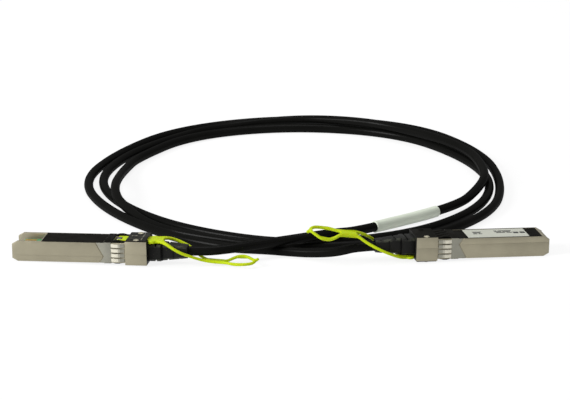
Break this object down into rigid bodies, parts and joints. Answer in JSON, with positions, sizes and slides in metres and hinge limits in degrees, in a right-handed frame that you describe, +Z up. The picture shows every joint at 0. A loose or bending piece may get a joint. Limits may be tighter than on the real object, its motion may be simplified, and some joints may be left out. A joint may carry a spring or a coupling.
{
  "type": "direct attach copper cable",
  "caption": "Coiled black twin-axial cable with a pluggable metal plug, a latch and a lime pull strap at each end.",
  "frame": {"origin": "middle of the two plugs' footprint, on the surface that the cable lies on", "axes": "+X from the first plug to the second, +Y towards the coil, +Z up"},
  "size_m": [0.2223, 0.2391, 0.0164],
  "materials": {
    "shell_metal": "satin nickel plate on a die casting",
    "spring_steel": "bright stamped sheet",
    "circuit_card": "solder mask",
    "gold_plate": "gold plate",
    "chip_resin": "moulded",
    "capacitor_ceramic": "fired",
    "pair_foil": "foil",
    "ferrule_metal": "crimped",
    "boot_rubber": "moulded, satin",
    "latch_steel": "stamped",
    "cover_paint": "black, satin",
    "rivet_metal": "bright",
    "black_film": "satin film",
    "white_label": "paper film",
    "lime_strap": "moulded, satin",
    "cable_jacket": "satin",
    "sleeve_film": "satin"
  },
  "bodies": {
    "plugs": {"bottom_shell_a": "shell_metal", "top_shell_a": "shell_metal", "emi_collar_a": "spring_steel", "paddle_card_a": "circuit_card", "contact_pads_a": "gold_plate", "eeprom_chip_a": "chip_resin", "capacitors_a": "capacitor_ceramic", "signal_wires_a": "pair_foil", "crimp_ferrule_a": "ferrule_metal", "cable_boot_a": "boot_rubber", "latch_pin_a": "latch_steel", "latch_spring_a": "spring_steel", "latch_cover_a": "cover_paint", "shell_rivets_a": "rivet_metal", "label_film_a": "black_film", "white_label_a": "white_label", "roof_film_a": "black_film", "bottom_shell_b": "shell_metal", "top_shell_b": "shell_metal", "emi_collar_b": "spring_steel", "paddle_card_b": "circuit_card", "contact_pads_b": "gold_plate", "eeprom_chip_b": "chip_resin", "capacitors_b": "capacitor_ceramic", "signal_wires_b": "pair_foil", "crimp_ferrule_b": "ferrule_metal", "cable_boot_b": "boot_rubber", "latch_pin_b": "latch_steel", "latch_spring_b": "spring_steel", "latch_cover_b": "cover_paint", "shell_rivets_b": "rivet_metal", "label_film_b": "black_film", "white_label_b": "white_label", "roof_film_b": "black_film", "cable": "cable_jacket", "label_sleeve": "sleeve_film"},
    "tab_a": {"pull_tab_a": "lime_strap"},
    "pawl_a": {"latch_pawl_a": "latch_steel"},
    "tab_b": {"pull_tab_b": "lime_strap"},
    "pawl_b": {"latch_pawl_b": "latch_steel"}
  },
  "joints": [
    {"name": "pull_a", "type": "slide", "parent": "plugs", "child": "tab_a", "axis": [0.9869, -0.1598, 0.0235], "range_m": [0, 0.002], "stiffness_N_per_m": 1000},
    {"name": "latch_a", "type": "hinge", "parent": "plugs", "child": "pawl_a", "pos_m": [-0.05723, -0.00509, 0.00865], "axis": [-0.1599, -0.9871, 0], "range_deg": [0, 3.55], "deforming": ["latch_spring_a"]},
    {"name": "pull_b", "type": "slide", "parent": "plugs", "child": "tab_b", "axis": [-0.9799, -0.1976, 0.0284], "range_m": [0, 0.002], "stiffness_N_per_m": 1000},
    {"name": "latch_b", "type": "hinge", "parent": "plugs", "child": "pawl_b", "pos_m": [0.05727, 0, 0.00251], "axis": [0.1977, -0.9803, 0], "range_deg": [0, 3.55], "deforming": ["latch_spring_b"]}
  ],
  "couplings": [
    {"joint": "latch_a", "follows": "pull_a", "rad_per_m": 30.6},
    {"joint": "latch_b", "follows": "pull_b", "rad_per_m": 30.6}
  ]
}
